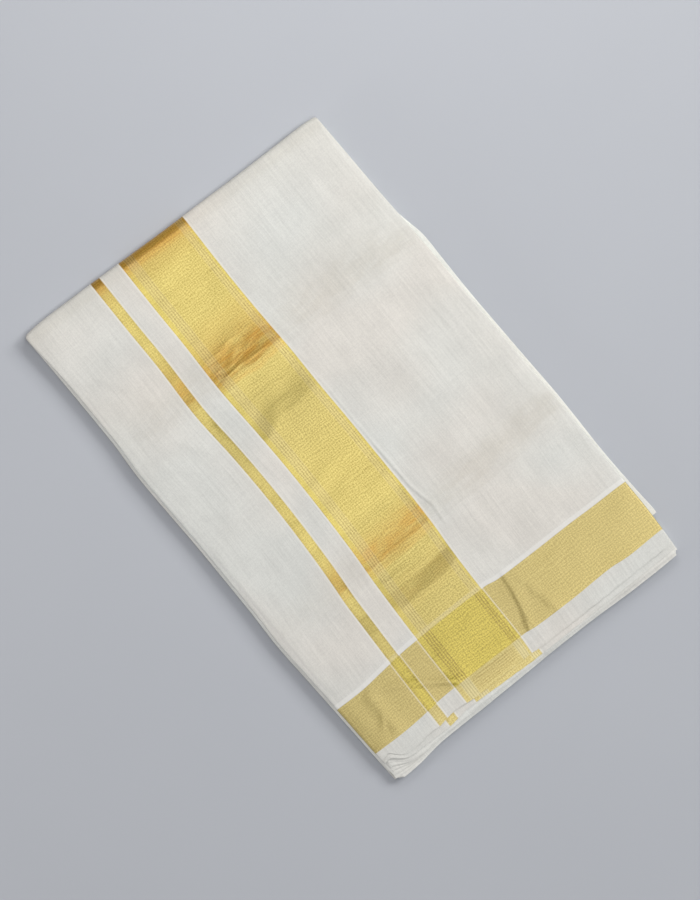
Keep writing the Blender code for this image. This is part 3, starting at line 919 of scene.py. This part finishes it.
def addSecondLeaf():
    section = acrossSection(outer["curl"] - leafPitch, second["columns"])
    rows = np.linspace(0, 1, second["rows"]) ** second["crowding"]
    x, y, depth, fromEdge = leafRun(section, rows, lambda x: cutEdge(x, 2),
                                    lambda x: second["start"] + 0 * x, 1.0, leafPitch, leafPitch)
    free = 1 - eased(y - leafEnd(x, 1), -0.8, 1.0)
    uneven, rise = second["hang"]
    hang = (uneven * softness(x, y, 9, 6, 5.5) + rise) * free * (1 - eased(y - leafEnd(x, 2), 0, 4))
    relief = wrinkles(x, y) + undulation(x, y) * eased(fromEdge, 0, 8)
    z = topHeight(x, y) - depth + relief * eased(fromEdge, 0.2, 2.6) + hang
    shiftAcross, shiftAlong = second["shift"]
    across, along = clothMeasure(x - shiftAcross, y)
    across, along = across + turnedCloth(section), along + shiftAlong
    return thicken(meshFromGrid("secondLeaf", x, y, z, across, along, borderedCotton), packet["cloth"])


secondLeaf = addSecondLeaf()

# the lower leaf that stands out at the right side, folded over at its outer edge
# y, how far it stands out past the half width
sideLeafTable = [
    (142, -3.6), (125, -1.2), (112, 1.1), (99, 3.2), (74, 2.8), (49, 2.2), (23, 2.0), (-2, 2.3), (-40, 2.7),
    (-78, 3.3), (-104, 2.8), (-141, 1.8), (-167, 2.0), (-192, 2.7), (-206, 3.4), (-211, 3.4), (-214, 2.9),
]
sideFold = {
    "low": -213.4, "high": 142.0, "reach": 25.0, "radius": 0.62, "height": 4.2,
    "rows": 150, "columns": 9, "thinner": 0.8,
}


def addSideLeaf():
    radius, columns = sideFold["radius"], sideFold["columns"]
    angles = np.linspace(math.pi / 2, -math.pi / 2, columns)
    flat = np.linspace(sideFold["reach"], 1.0, columns)
    inward = np.concatenate([flat + radius, radius - radius * np.cos(angles), flat[::-1] + radius])[None, :]
    rise = np.concatenate([0 * flat + radius, radius * np.sin(angles), 0 * flat - radius])[None, :]
    y = np.linspace(sideFold["low"], sideFold["high"], sideFold["rows"])[:, None] + 0 * inward
    x = packet["halfWidth"] + curveThrough(sideLeafTable, 1, y) - inward
    wave = 0.25 * np.sin(y / 23.0 + 1.0) + 0.15 * np.sin(y / 9.0)
    z = sideFold["height"] + rise + wave * eased(-inward, -8, 0)
    across = packet["halfWidth"] - inward + 0 * y
    piece = meshFromGrid("sideLeaf", x, y, z, across, -y, plainCotton, flip=True)
    return thicken(piece, packet["cloth"] * sideFold["thinner"])


sideLeaf = addSideLeaf()
print("second and side leaves made")

# short threads left standing at the top leaf's cut end
endThreads = {
    "count": 420, "length": 0.9, "thickness": 0.055, "tip": 0.02, "spread": 0.5, "seed": 11,
    "left": (-236, 4), "right": (-240, 3),  # where the side is read, and how far in from it they begin
    "points": 700, "ahead": 0.05, "sunk": 0.03,
    # least and most turn, so that they lie over towards -Y and fan out a little; least and most size
    "turn": ((1.45, -0.3, -0.5), (1.75, 0.3, 0.5)), "size": ((0.7, 0.7, 0.25), (1.2, 1.2, 1.0)),
}


def threadTree():
    tree = bpy.data.node_groups.new("threadsAlongLine", "GeometryNodeTree")
    sizes = (("Geometry", "Geometry"), ("Count", "Int"), ("Length", "Float"), ("Thickness", "Float"),
             ("Spread", "Float"), ("Seed", "Int"), ("Material", "Material"))
    for title, kind in sizes:
        tree.interface.new_socket(title, in_out="INPUT", socket_type="NodeSocket" + kind)
    tree.interface.new_socket("Geometry", in_out="OUTPUT", socket_type="NodeSocketGeometry")
    given, end = tree.nodes.new("NodeGroupInput").outputs, tree.nodes.new("NodeGroupOutput")

    def add(kind, values, **settings):
        node = tree.nodes.new(kind)
        for title, value in settings.items():
            setattr(node, title, value)
        for title, value in values.items():
            if isinstance(value, (int, float, tuple)):
                node.inputs[title].default_value = value
            else:
                join(value, node.inputs[title])
        return node.outputs

    def random(kind, values):
        return add("FunctionNodeRandomValue", {**values, "Seed": given["Seed"]}, data_type=kind)

    def between(limits):
        return random("FLOAT_VECTOR", {"Min": limits[0], "Max": limits[1]})[0]

    line = add("GeometryNodeMeshToCurve", {"Mesh": given["Geometry"]})
    spots = add("GeometryNodeResampleCurve", {"Curve": line[0], "Count": given["Count"]})
    thread = add("GeometryNodeMeshCone", {
        "Vertices": 5, "Radius Top": endThreads["tip"] * millimetre, "Radius Bottom": given["Thickness"],
        "Depth": given["Length"]})
    stray = random("BOOLEAN", {"Probability": given["Spread"]})[3]
    placed = add("GeometryNodeInstanceOnPoints", {
        "Points": spots[0], "Selection": stray, "Instance": thread["Mesh"],
        "Rotation": between(endThreads["turn"]), "Scale": between(endThreads["size"])})
    real = add("GeometryNodeRealizeInstances", {"Geometry": placed[0]})
    coloured = add("GeometryNodeSetMaterial", {"Geometry": real[0], "Material": given["Material"]})
    join(coloured[0], end.inputs["Geometry"])
    return tree


def addEndThreads():
    (leftAt, leftIn), (rightAt, rightIn) = endThreads["left"], endThreads["right"]
    x = np.linspace(leftEdge(leftAt) + leftIn, rightEdge(rightAt) - rightIn, endThreads["points"])
    y = cutEdge(x, 1)
    fromEdge = np.minimum(x - leftEdge(y), rightEdge(y) - x)
    z = topHeight(x, y) - shoulder(fromEdge) + wrinkles(x, y) - endThreads["sunk"]
    points = np.stack([x, y + endThreads["ahead"], z], -1) * millimetre
    mesh = bpy.data.meshes.new("endThreads")
    mesh.from_pydata(points.tolist(), [(n, n + 1) for n in range(len(x) - 1)], [])
    piece = linked("endThreads", mesh)
    modifier = piece.modifiers.new("threads", "NODES")
    modifier.node_group = threadTree()
    values = {"Count": endThreads["count"], "Length": endThreads["length"] * millimetre,
              "Thickness": endThreads["thickness"] * millimetre, "Spread": endThreads["spread"],
              "Seed": endThreads["seed"], "Material": plainCotton}
    for item in modifier.node_group.interface.items_tree:
        if item.in_out == "INPUT" and item.name in values:
            modifier[item.identifier] = values[item.name]
    return applyModifiers(piece)


cutThreads = addEndThreads()
print("threads made:", len(cutThreads.data.polygons), "faces")

# everything hidden, as one layered form: a floor, nested folds at the sides, stepped ends
inner = {
    "plies": 15,              # on each side of the middle
    "acrossPly": ((0.14, 0.12), (0.5, 0.0), (0.86, 0.12)),  # share of the ply, how far it is rounded back
    "groove": 0.4, "deepGroove": 1.5, "deepAfter": (4, 6, 8, 10, 13), "middleGroove": 0.3, "skinGroove": 0.2,
    "rows": (0.06, 16, 118), "columns": (0.16, 34, 84),     # closer up to this share, so many there, in all
    "arcColumns": 14,
    "wander": 0.28, "endWander": 0.22, "leastInset": 0.15, "lowerPlies": 20,
    "toFourth": (0.16, 0.22, 2), "toThird": (0.46, 0.46, 3),  # from this level, over how much, steps
    "tuck": (2.4, 0.75),      # the lowest leaves draw back, below this level
    "leftNotch": (8.2, 235.5, 243.5), "notchUpTo": (0.2, 0.3),
    "sideSlot": (-216.0, 146.0), "slotLevel": (0.34, 0.16), "slotDepth": 28,
    "rightCorner": (3.2, 247.2, 252.6),
}
# how far each level stops short: level from -1 at the bottom to 1 at the top, left side, right side
insetTable = [
    (-1.0, 2.4, 2.6), (-0.8, 1.2, 1.9), (-0.55, 0.7, 1.2), (-0.3, 0.2, 0.7), (0.0, 0.5, 0.5),
    (0.25, 1.3, 0.7), (0.5, 1.9, 0.9), (0.62, 3.4, 1.7), (0.8, 4.8, 2.9), (1.0, 5.4, 3.4),
]


def closerFirst(share, close, total):
    # places from 0 to 1, closer together up to share
    return np.concatenate([np.linspace(0, share, close), np.linspace(share, 1, total - close + 1)[1:]])


alongShares, acrossShares = closerFirst(*inner["rows"]), closerFirst(*inner["columns"])
arcAngles = np.linspace(-math.pi / 2, math.pi / 2, inner["arcColumns"] + 2)[1:-1]
arcRadius = packet["foldRadius"] - packet["cloth"] - packet["gap"]


def plyNoise(ply, along, size):
    # slow, uneven wander of each ply's edge; fixed by the ply's own number
    a = 2.399 * ply + 1.0
    slow = np.sin(along / (31 + 7 * math.sin(a)) + a * 3)
    quick = np.sin(along / (13 + 3 * math.cos(a)) + a * 5)
    return size * (slow + 0.6 * quick + 0.5 * math.sin(a * 9))


def innerTop(x, y):
    fromEdge = np.minimum(x - (leftEdge(y) + packet["setBack"]), rightEdge(y) - x)
    underSecond = eased(-y, 150, 168)
    return topHeight(x, y) - shoulder(np.maximum(fromEdge, 0)) - leafPitch * (1.3 + underSecond)


def levelHeight(level, x, y):
    middle, top = packet["foldRadius"], innerTop(x, y)
    return np.where(level >= 0, middle + level * (top - middle), middle + level * (middle - leafPitch))


def ringRows():
    # each ring: share from the middle to the skin, which ply, groove depth
    rings = [(0.0, 0, inner["middleGroove"])]
    for ply in range(inner["plies"]):
        groove = inner["deepGroove"] if ply in inner["deepAfter"] else inner["groove"]
        for share, depth in (*inner["acrossPly"], (1.0, groove)):
            rings.append(((ply + share) / inner["plies"], ply, depth))
    rings[-1] = (*rings[-1][:2], inner["skinGroove"])
    return rings


def plyLevel(ply, run):
    return run * (ply + 0.5) / inner["plies"]


def stairs(level, start, span, steps):
    # a few leaves end together, then the next ones step back
    return np.floor(np.clip((level - start) / span, 0, 1) * steps + 0.001) / steps


def endLevel(ply, run, x):
    # the open end: the lowest leaves reach furthest, then they step back towards the second leaf
    level = plyLevel(ply, run)
    lowest, fourth, third = leafEnd(x, 5), leafEnd(x, 4), leafEnd(x, 3)
    toFourth, toThird = stairs(level, *inner["toFourth"]), stairs(level, *inner["toThird"])
    step = lowest + toFourth * (fourth - lowest) + toThird * (third - fourth)
    most, below = inner["tuck"]
    tuck = most * np.clip(-level - below, 0, 1) / (1 - below)
    edge = ply + (inner["lowerPlies"] if run < 0 else 0)
    return step + tuck + np.abs(plyNoise(edge, x, inner["endWander"]))


def sidePlace(side, share, run, ply, groove, y):
    # share grows from the middle to the skin; run is 1 on the upper half, -1 on the lower, and between
    # them round the fold
    levels, insets = [row[0] for row in insetTable], [row[1 if side < 0 else 2] for row in insetTable]
    upper, lower = (1 + run) / 2, (1 - run) / 2
    inset = upper * np.interp(share, levels, insets) + lower * np.interp(-share, levels, insets)
    wander = upper * plyNoise(ply, y, inner["wander"])
    wander = wander + lower * plyNoise(ply + inner["lowerPlies"], y, inner["wander"])
    inset = np.maximum(inset + wander, inner["leastInset"]) + groove
    if side < 0:
        depth, start, full = inner["leftNotch"]
        notch = depth * eased(-y, start, full) * (1 - eased(plyLevel(ply, run), *inner["notchUpTo"]))
        return leftEdge(y) + (inset + notch)
    low, high = inner["sideSlot"]
    middle, half = inner["slotLevel"]
    slot = within(y, low - 1, low, high - 1, high) * (abs(share * run + middle) < half)
    inset = np.maximum(inset, slot * inner["slotDepth"])
    depth, start, full = inner["rightCorner"]
    return rightEdge(y) - inset - depth * eased(-y, start, full)


def cornerPoint(side, level, run, ply, groove):
    # where a ply's cut end meets the long side
    x = np.array(side * 150.0)
    for _ in range(4):
        y = endLevel(ply, run if level else 0, x) + groove
        x = sidePlace(side, abs(level), run if level else 0, ply, groove, y)
    return float(x), float(y)


def sideRow(side, share, ply, groove):
    # one ring's points along a long side: the lower half, round the fold, back along the upper half
    points = []
    for run in (-1, 1):
        level = run * share
        x0, y0 = cornerPoint(side, level, run, ply, groove)
        centre = float(foldEdge(x0)) - packet["foldRadius"]
        y = y0 + alongShares * (centre - y0)
        x = sidePlace(side, share, run * (share > 0), ply, groove, y)
        x[0] = x0
        row = np.stack([x, y, levelHeight(level, x, y)], -1)
        points.append(row if run < 0 else row[::-1])
    centre = (points[0][-1, 1] + points[1][0, 1]) / 2
    y = centre + share * arcRadius * np.cos(arcAngles)
    x = sidePlace(side, share, np.sin(arcAngles) * (share > 0), ply, groove, y)
    reach = share * (arcRadius - shoulder(x - leftEdge(y) if side < 0 else rightEdge(y) - x))
    y, z = centre + reach * np.cos(arcAngles), packet["foldRadius"] + reach * np.sin(arcAngles)
    return np.concatenate([points[0], np.stack([x, y, z], -1), points[1]])


def openEndRows(rings, sides):
    # the stepped open end, from the underside up to the skin
    rows = []
    order = range(len(rings))
    for run, indices, end in ((-1, reversed(order), 0), (1, order, -1)):
        for index in indices:
            share, ply, groove = rings[index]
            start, stop = sides[-1][index][end], sides[1][index][end]
            x = start[0] + acrossShares * (stop[0] - start[0])
            y = endLevel(ply, run * (share > 0), x) + groove
            y[0], y[-1] = start[1], stop[1]
            z = levelHeight(run * share, x, y)
            z[0], z[-1] = start[2], stop[2]
            rows.append(np.stack([x, y, z], -1))
    return np.array(rows)


def skinRows(left, right, ends):
    # the skin, hidden under the outer leaf
    skin = left[None] + acrossShares[:, None, None] * (right - left)[None]
    leftFold, rightFold = foldEdge(left[:, 0]), foldEdge(right[:, 0])
    straight = leftFold + acrossShares[:, None] * (rightFold - leftFold)
    skin[..., 1] += (foldEdge(skin[..., 0]) - straight) * eased(skin[..., 1], 150, 232)
    count, afterArc = len(alongShares), len(alongShares) + len(arcAngles)
    arcPart = slice(count, afterArc)
    x, y = skin[:, arcPart, 0], skin[:, arcPart, 1]
    reach = arcRadius - shoulder(np.maximum(np.minimum(x - leftEdge(y), rightEdge(y) - x), 0))
    skin[:, arcPart, 1] = foldEdge(x) - packet["foldRadius"] + reach * np.cos(arcAngles)
    skin[:, arcPart, 2] = packet["foldRadius"] + reach * np.sin(arcAngles)
    skin[0], skin[-1] = left, right
    skin[:, 0], skin[:, -1] = ends[0], ends[-1]
    for part, level in ((slice(1, count), -1.0), (slice(afterArc, afterArc + count - 1), 1.0)):
        z = levelHeight(level, skin[:, part, 0], skin[:, part, 1])
        z[0], z[-1] = left[part, 2], right[part, 2]
        skin[:, part, 2] = z
    return skin


def addGrid(bm, points, flip=False):
    rows, columns = points.shape[:2]
    points = np.stack([roundCorners(points[..., 0], points[..., 1]), points[..., 1], points[..., 2]], -1)
    verts = [[bm.verts.new(point * millimetre) for point in row] for row in points]
    for r in range(rows - 1):
        for c in range(columns - 1):
            quad = (verts[r][c], verts[r][c + 1], verts[r + 1][c + 1], verts[r + 1][c])
            bm.faces.new(quad[::-1] if flip else quad)


def addInnerLeaves():
    rings = ringRows()
    sides = {side: np.array([sideRow(side, *ring) for ring in rings]) for side in (-1, 1)}
    ends = openEndRows(rings, sides)
    bm = bmesh.new()
    addGrid(bm, sides[-1])
    addGrid(bm, sides[1], flip=True)
    addGrid(bm, ends, flip=True)
    addGrid(bm, skinRows(sides[-1][-1], sides[1][-1], ends))
    bmesh.ops.remove_doubles(bm, verts=bm.verts, dist=0.00002)
    bmesh.ops.recalc_face_normals(bm, faces=bm.faces)
    mesh = bpy.data.meshes.new("innerLeaves")
    bm.to_mesh(mesh)
    bm.free()
    mesh.shade_smooth()
    mesh.set_sharp_from_angle(angle=math.radians(42))
    mesh.materials.append(plainCotton)
    return linked("innerLeaves", mesh)


innerLeaves = addInnerLeaves()
print("inner leaves made:", len(innerLeaves.data.polygons), "faces")

for piece, node, slotName in (
    (outerLeaf, "outer_leaf", "white_cotton"), (secondLeaf, "second_leaf", "white_cotton"),
    (sideLeaf, "side_leaf", "white_cotton"), (innerLeaves, "inner_folds", "cotton_in_the_folds"),
):
    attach(piece, "root")
    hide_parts(node)
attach(cutThreads, "root")

# floor, light and camera
stage = {
    "floor": 12.0, "mottle": (3, 3, 3), "paper": ((0.47, 0.49, 0.53), (0.50, 0.52, 0.56)),
    "room": (0.98, 0.97, 1.0, 1), "roomLight": 0.18,
    "lens": 600.0, "turn": -40.0, "aim": (-5.4, -2.9), "frameHeight": 774.0,
    "top": 0.012,             # the height at which the frame is that high
}
# name, place, size, power, colour
lights = [
    ("windowLight", (3.2, -0.2, 2.4), 1.8, 93.0, (1.0, 0.99, 0.965)),
    ("skyPanel", (1.6, -3.2, 17.0), 9.2, 850.0, (0.98, 0.99, 1.0)),
    ("farWall", (-1.3, 1.1, 1.1), 1.6, 5.0, (1.0, 0.93, 0.88)),
    ("paleWall", (-3.0, 0.5, 0.36), 0.7, 17.0, (0.96, 0.98, 1.0)),
    ("nearLight", (0.55, 0.62, 0.78), 0.5, 2.9, (1.0, 0.99, 0.97)),
]


def addFloor():
    bpy.ops.mesh.primitive_plane_add(size=stage["floor"], location=(0, 0, 0))
    floor = bpy.context.object
    floor.name = "paleFloor"
    material = bpy.data.materials.new("palePaper")
    tree, shader = shaderOf(material)
    place = tree.nodes.new("ShaderNodeTexCoord")
    mottle = grain(scaled(place.outputs["Object"], stage["mottle"]), 4.0, 0.6)
    join(mixColour(mottle, *stage["paper"]), shader.inputs["Base Color"])
    shader.inputs["Roughness"].default_value = 0.95
    floor.data.materials.append(material)


def addAreaLight(name, place, size, power, colour):
    data = bpy.data.lights.new(name, "AREA")
    data.shape, data.size, data.energy, data.color = "SQUARE", size, power, colour
    lamp = linked(name, data)
    lamp.location = place
    lamp.rotation_euler = (-Vector(place)).to_track_quat("-Z", "Y").to_euler()


def lightRoom():
    world = bpy.data.worlds.new("softRoom")
    world.use_nodes = True
    background = world.node_tree.nodes["Background"]
    background.inputs["Color"].default_value = stage["room"]
    background.inputs["Strength"].default_value = stage["roomLight"]
    bpy.context.scene.world = world


def addCamera():
    data = bpy.data.cameras.new("overheadCamera")
    data.lens = stage["lens"]
    camera = linked("overheadCamera", data)
    distance = stage["frameHeight"] * millimetre * stage["lens"] / data.sensor_width
    x, y = stage["aim"]
    camera.location = (x * millimetre, y * millimetre, distance + stage["top"])
    camera.rotation_euler = (0, 0, math.radians(stage["turn"]))
    bpy.context.scene.camera = camera


addFloor()
for light in lights:
    addAreaLight(*light)
lightRoom()
addCamera()
bpy.context.scene.view_settings.view_transform = "Standard"
print("stage set")
